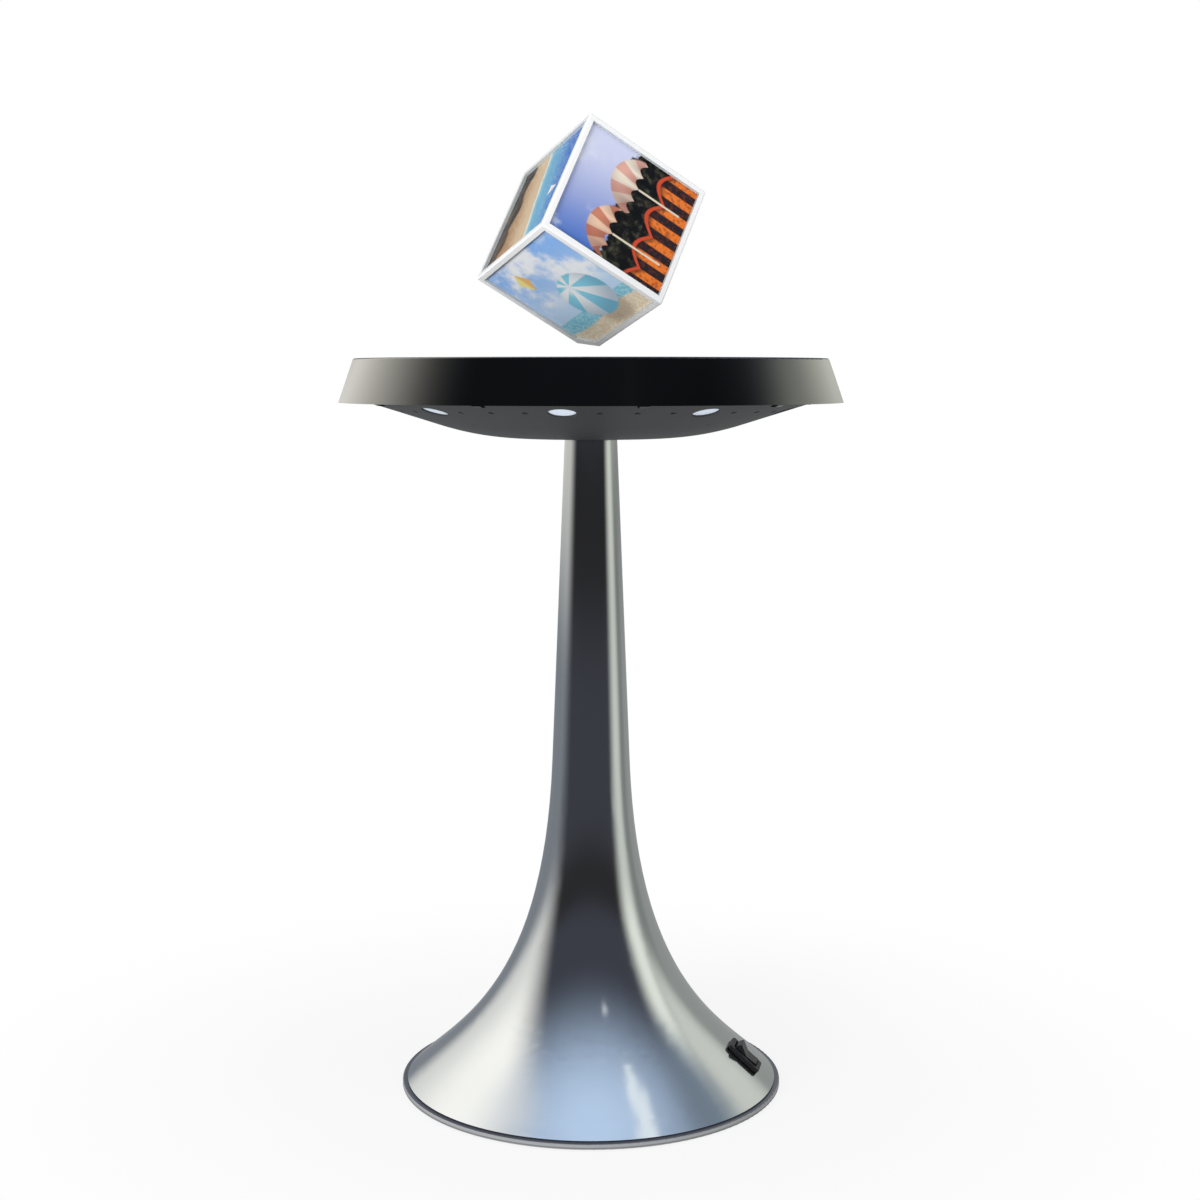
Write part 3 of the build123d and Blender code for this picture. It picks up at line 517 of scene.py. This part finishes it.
# Right print: two parasols before a leafy hedge and a row of orange and dark striped huts, under a
# sky that pales to one side. Its top lies along the edge toward the viewer.
hedge_top, hut_top = 0.31, -0.525
pole_half, pole_foot, rib_count = 0.018, -0.85, 22
parasols = (
    (-0.50, 0.02, 0.46, (0.90, 0.62, 0.44), (0.66, 0.24, 0.15)),
    (0.44, -0.10, 0.50, (0.90, 0.80, 0.66), (0.80, 0.44, 0.36)),
)
u, v, place, paper = print_square("print of parasols", rising[0], rising[1])
leaves = place.grain(scale=300.0, detail=5.0, rough=0.65)
mist = place.grain(scale=60.0, detail=5.0, rough=0.6)
grime = place.grain(scale=650.0, detail=3.0)
colour = (0.8 * u + 0.2 * v).fade(-0.9, 0.9).between((0.05, 0.16, 0.56), (0.66, 0.68, 0.88))
colour = (0.5 * mist.fade(0.50, 0.66)).between(colour, (0.86, 0.88, 0.94))
hedge = (v + 0.30 * leaves + 0.08 * (7.0 * u).sine()).below(hedge_top, 0.03)
hedge_tint = leaves.fade(0.46, 0.76).between((0.003, 0.003, 0.003), (0.09, 0.08, 0.05))
colour = hedge.between(colour, hedge_tint)
under_gable = v - 0.20 * abs((5.25 * u + 0.8).sine())
hut = under_gable.below(hut_top, 0.015)
stripe = (21.0 * u).sine().fade(-0.2, 0.2)
boards = stripe.between((0.02, 0.014, 0.018), (0.86, 0.20, 0.025))
boards = (0.55 * grime.fade(0.46, 0.66)).between(boards, (0.16, 0.03, 0.012))
boards = (0.7 * under_gable.fade(-0.72, -0.60)).between(boards, (0.03, 0.01, 0.01))
colour = hut.between(colour, boards)
eaves = hut * under_gable.fade(-0.60, -0.58)
colour = eaves.between(colour, (0.62, 0.07, 0.025))
for middle_u, middle_v, size, light, dark in parasols:
    pole = abs(u - middle_u).below(pole_half, 0.004) * v.below(middle_v + 0.01, 0.01)
    pole = pole * v.fade(pole_foot - 0.01, pole_foot + 0.01)
    colour = pole.between(colour, (0.74, 0.66, 0.50))
    scallop = abs((14.0 * (u - middle_u)).sine())
    hem = middle_v + 0.10 * scallop
    canopy = spot(u, v, middle_u, middle_v, size, 0.015) * (v - hem).fade(0.0, 0.02)
    canvas = wedges(u, v, middle_u, middle_v - 0.5 * size, rib_count).between(light, dark)
    sag = scallop * (1.0 - (v - middle_v).fade(0.05, 0.8 * size))
    canvas = (0.45 * sag).between(canvas, (0.20, 0.07, 0.05))
    shaded = 1.0 - spot(u, v, middle_u + 0.16, middle_v + 0.5 * size, 0.6 * size, 0.5 * size)
    canvas = (0.55 * shaded).between(canvas, (0.26, 0.08, 0.06))
    colour = canopy.between(colour, canvas)
print_on("photo_6", place, paper, colour)

# Windows: clear acrylic with a coating against glare, cut to fit over each print and flush with the
# frame. The sawn edges are a little frosted, and show once a window is lifted off.
window_thickness, window_count = 0.0012, 6
window_back = cube_half - window_thickness
saw_depth, saw_blur = 0.00005, 0.00002
blunt_line, blunt_blur = -0.043265, 0.000025
pane_depth, pane_blur = 0.00015, 0.00005
clear_tint, gloss_white = (0.970, 0.974, 0.977, 1), (1, 1, 1, 1)
sawn_dim, sawn_pale = (0.52, 0.57, 0.58), (0.66, 0.70, 0.71)
place, acrylic = new_finish("clear acrylic")
wiped = place.grain(scale=45.0, detail=3.0)
sides = [place.along(axis) - cube_middle.dot(axis) for axis in rising]
sawn = None
for one, two, facing in (sides, sides[1:] + sides[:1], sides[2:] + sides[:2]):
    straight = abs(abs(one) - window_half).below(saw_depth, saw_blur)
    slanted = (one + two).below(blunt_line, blunt_blur)
    slanted = slanted * facing.below(pane_depth - window_back, pane_blur)
    cut = straight.most(slanted)
    sawn = cut if sawn is None else sawn.most(cut)
clear = place.node("BsdfTransparent", None, {"Color": clear_tint})
gloss = place.node("BsdfGlossy", None, {"Color": gloss_white, "Roughness": 0.03 + 0.06 * wiped})
glare = 0.25 * place.node("LayerWeight", None, {"Blend": 0.5}, out="Facing").fade(0.62, 1.0)
pane = place.node("MixShader", None, {0: glare, 1: clear, 2: gloss})
frosted_edge = place.node("BsdfPrincipled", None, {
    "Base Color": wiped.between(sawn_dim, sawn_pale),
    "Roughness": 0.35 + 0.15 * wiped,
})
dress(
    [f"window_{k}" for k in range(1, window_count + 1)], acrylic,
    place.node("MixShader", None, {0: 0.6 * sawn, 1: pane, 2: frosted_edge}),
)

# Magnet, cup and cap: a nickel-plated disc that lies level in the cube's lower corner, in a
# moulded cup with a lid.
nickel_warm, nickel_bright = (0.60, 0.58, 0.53), (0.68, 0.66, 0.62)
cup_dim, cup_pale = (0.68, 0.68, 0.66), (0.76, 0.76, 0.74)
place, nickel = new_finish("nickel plating")
cloud = place.grain(scale=140.0, detail=3.0)
dress_plain(["float_magnet"], nickel, place, {
    "Base Color": cloud.between(nickel_warm, nickel_bright),
    "Metallic": 1.0,
    "Roughness": 0.12 + 0.1 * cloud,
})
place, cup = new_finish("cup moulding")
swirl = place.grain(scale=150.0, detail=3.0)
dress_plain(["magnet_cup", "magnet_cap"], cup, place, {
    "Base Color": swirl.between(cup_dim, cup_pale),
    "Roughness": 0.45 + 0.15 * swirl,
})

# Floor: a pale paper sheet under the stand. It keeps the stand's soft shadow near it and runs out to
# white past it, as a sheet that sweeps up behind does.
floor_radius = 6.0
shadow_near, shadow_far, least_white = 0.08, 0.30, 0.82
paper_matt, paper_white = (0.92, 0.92, 0.92, 1), (1, 1, 1, 1)
bpy.ops.mesh.primitive_circle_add(vertices=96, radius=floor_radius, fill_type="NGON")
floor = bpy.context.object
floor.name = "floor"
place, floor_paper = new_finish("pale floor")
away = place.node("VectorMath", {"operation": "LENGTH"}, {0: place}, out=1)
matt = place.node("BsdfDiffuse", None, {"Color": paper_matt})
glow = place.node("Emission", None, {"Color": paper_white, "Strength": 1.0})
whiteness = least_white + (1.0 - least_white) * away.fade(shadow_near, shadow_far)
floor_sheet = place.node("MixShader", None, {0: whiteness, 1: matt, 2: glow})
floor_sheet.node("OutputMaterial", None, {"Surface": floor_sheet})
floor.data.materials.append(floor_paper)
floor.visible_glossy = False

# Studio tent: cloth all round the stand that shows only in metal and gloss. It is dark toward the
# viewer, pale blue overhead, and grey to white at the sides, behind and below, with one dark flap high
# behind on the left and four small lamps high in front on the right.
tent_radius = 1.0
front_low, front_dark, front_high = (0.058, 0.061, 0.077), (0.030, 0.030, 0.032), (0.060, 0.065, 0.084)
overhead_blue = (0.77, 1.0, 1.33)
left_lean, left_lean_from = 0.2, 0.3
right_lean, right_lean_from = 0.8, 0.27
left_low, left_middle, left_high = (0.24, 0.265, 0.295), (0.86, 0.87, 0.84), (1.28, 1.28, 1.22)
left_top = (0.95, 0.98, 1.0)
right_low, right_middle, right_high = (0.72, 0.76, 0.70), (1.0, 1.05, 0.95), (0.21, 0.27, 0.34)
right_shade, right_dim, right_back = (0.26, 0.28, 0.27), (0.74, 0.77, 0.71), (0.34, 0.36, 0.35)
back_low, back_high = (0.36, 0.37, 0.38), (1.0, 0.98, 0.95)
flap_aim, flap_outer, flap_inner, flap_grey = (-0.230, 0.754, 0.616), 22, 9, (0.10, 0.10, 0.10)
below_grey, below_pale = (0.27, 0.275, 0.285), (0.56, 0.57, 0.59)
lamp_white, lamp_blur = (1.05, 1.15, 1.2), 1.5
small_lamps = (
    ((0.219, -0.673, 0.707), 2.2), ((0.349, -0.314, 0.883), 2.2),
    ((0.342, -0.248, 0.906), 3.0), ((0.379, -0.169, 0.910), 3.0),
)
bpy.ops.mesh.primitive_uv_sphere_add(segments=64, ring_count=32, radius=tent_radius)
tent = bpy.context.object
tent.name = "studio_tent"
place, cloth = new_finish("tent cloth")
lift = place.along((0, 0, 1))
bearing = lift.maths("ARCTAN2", place.along((1, 0, 0)), place.along((0, -1, 0)))
lift_share = lift / tent_radius
climb = lift_share.maths("ARCSINE", lift_share)


def angle_fade(angle, start, end):
    """Fade of an angle, with its ends in degrees."""
    return angle.fade(math.radians(start), math.radians(end))


def within(aim, outer, inner):
    """1 within an inner angle of an aim, 0 past the outer one, both in degrees."""
    nearness = place.along(Vector(aim)) / tent_radius
    return nearness.fade(math.cos(math.radians(outer)), math.cos(math.radians(inner)))


tone = lift.fade(0.08, 0.19).between(front_low, front_dark)
tone = lift.fade(0.25, 0.34).between(tone, front_high)
tone = angle_fade(climb, 30, 90).between(tone, overhead_blue)
left_swing = bearing - left_lean * (climb - left_lean_from).most(0.0)
left_tone = lift.fade(0.045, 0.255).between(left_low, left_middle)
left_tone = lift.fade(0.2, 0.62).between(left_tone, left_high)
left_tone = angle_fade(climb, 42, 60).between(left_tone, left_top)
tone = angle_fade(left_swing, -61, -103).between(tone, left_tone)
right_swing = bearing - right_lean * (climb - right_lean_from).most(0.0)
right_tone = angle_fade(climb, 6, 16).between(right_low, right_middle)
right_tone = angle_fade(right_swing, 84, 106).between(right_tone, right_shade)
dim_side = angle_fade(climb, 8, 24) * angle_fade(right_swing, 84, 104)
right_tone = dim_side.between(right_tone, right_dim)
right_tone = angle_fade(climb, 30, 44).between(right_tone, right_high)
tone = angle_fade(right_swing, 52, 80).between(tone, right_tone)
back_corner = angle_fade(bearing, 112, 128) * lift.below(0.25, 0.05)
tone = back_corner.between(tone, right_back)
behind = angle_fade(abs(bearing), 160, 170)
tone = behind.between(tone, lift.fade(0.40, 0.50).between(back_low, back_high))
tone = within(flap_aim, flap_outer, flap_inner).between(tone, flap_grey)
tone = angle_fade(climb, -10, -18).between(tone, below_grey)
tone = angle_fade(climb, -28, -55).between(tone, below_pale)
for aim, width in small_lamps:
    glint = within(Vector(aim).normalized(), width + lamp_blur, width)
    tone = glint.between(tone, lamp_white)
lit_cloth = place.node("Emission", None, {"Color": tone, "Strength": 1.0})
lit_cloth.node("OutputMaterial", None, {"Surface": lit_cloth})
tent.data.materials.append(cloth)
tent.visible_camera = False
tent.visible_diffuse = False
tent.visible_shadow = False
tent.visible_transmission = False

# World: white paper all round, seen behind the stand and through the windows. What it sends onto the
# pieces is plain, even light.
even_light = 0.44
world = bpy.data.worlds.new("studio")
bpy.context.scene.world = world
world.use_nodes = True
world.node_tree.nodes.clear()
ray = Wire(world.node_tree)
seen = ray.node("LightPath", out="Is Camera Ray")
for kind in ("Is Glossy Ray", "Is Transmission Ray"):
    seen = seen.most(ray.node("LightPath", out=kind))
strength = even_light + (1.0 - even_light) * seen
backdrop = ray.node("Background", None, {"Color": paper_white, "Strength": strength})
backdrop.node("OutputWorld", None, {"Surface": backdrop})

# Lamps: soft boxes overhead, high on the right, and low in front on the left, where the light reaches
# the cube's lower face. They light the pieces but don't show in them.
stand_middle = Vector((0, 0, 0.25))
for name, lamp_place, box_size, power in (
    ("top_softbox", (0.1, -0.1, 1.8), 2.4, 10.0),
    ("right_softbox", (1.25, -0.50, 1.45), 1.0, 3.0),
    ("front_softbox", (-0.75, -1.20, 0.27), 0.6, 18.0),
):
    bpy.ops.object.light_add(type="AREA", location=lamp_place)
    lamp = bpy.context.object
    lamp.name = name
    lamp.data.size = box_size
    lamp.data.energy = power
    lamp.visible_glossy = False
    lamp.visible_transmission = False
    toward_stand = stand_middle - Vector(lamp_place)
    lamp.rotation_euler = toward_stand.to_track_quat("-Z", "Y").to_euler()

# Camera: as far, as high and as steep as the photograph's, with the stand a little left of centre.
# It has no depth of field, and only the shift that the framing needs.
camera_place, camera_tilt = (0, -0.75658, 0.28000), 83.415
bpy.ops.object.camera_add(location=camera_place, rotation=(math.radians(camera_tilt), 0, 0))
camera = bpy.context.object
camera.data.sensor_width = 36
camera.data.lens = 58.698
camera.data.shift_x = 0.0075
bpy.context.scene.camera = camera
bpy.context.scene.view_settings.view_transform = "Standard"
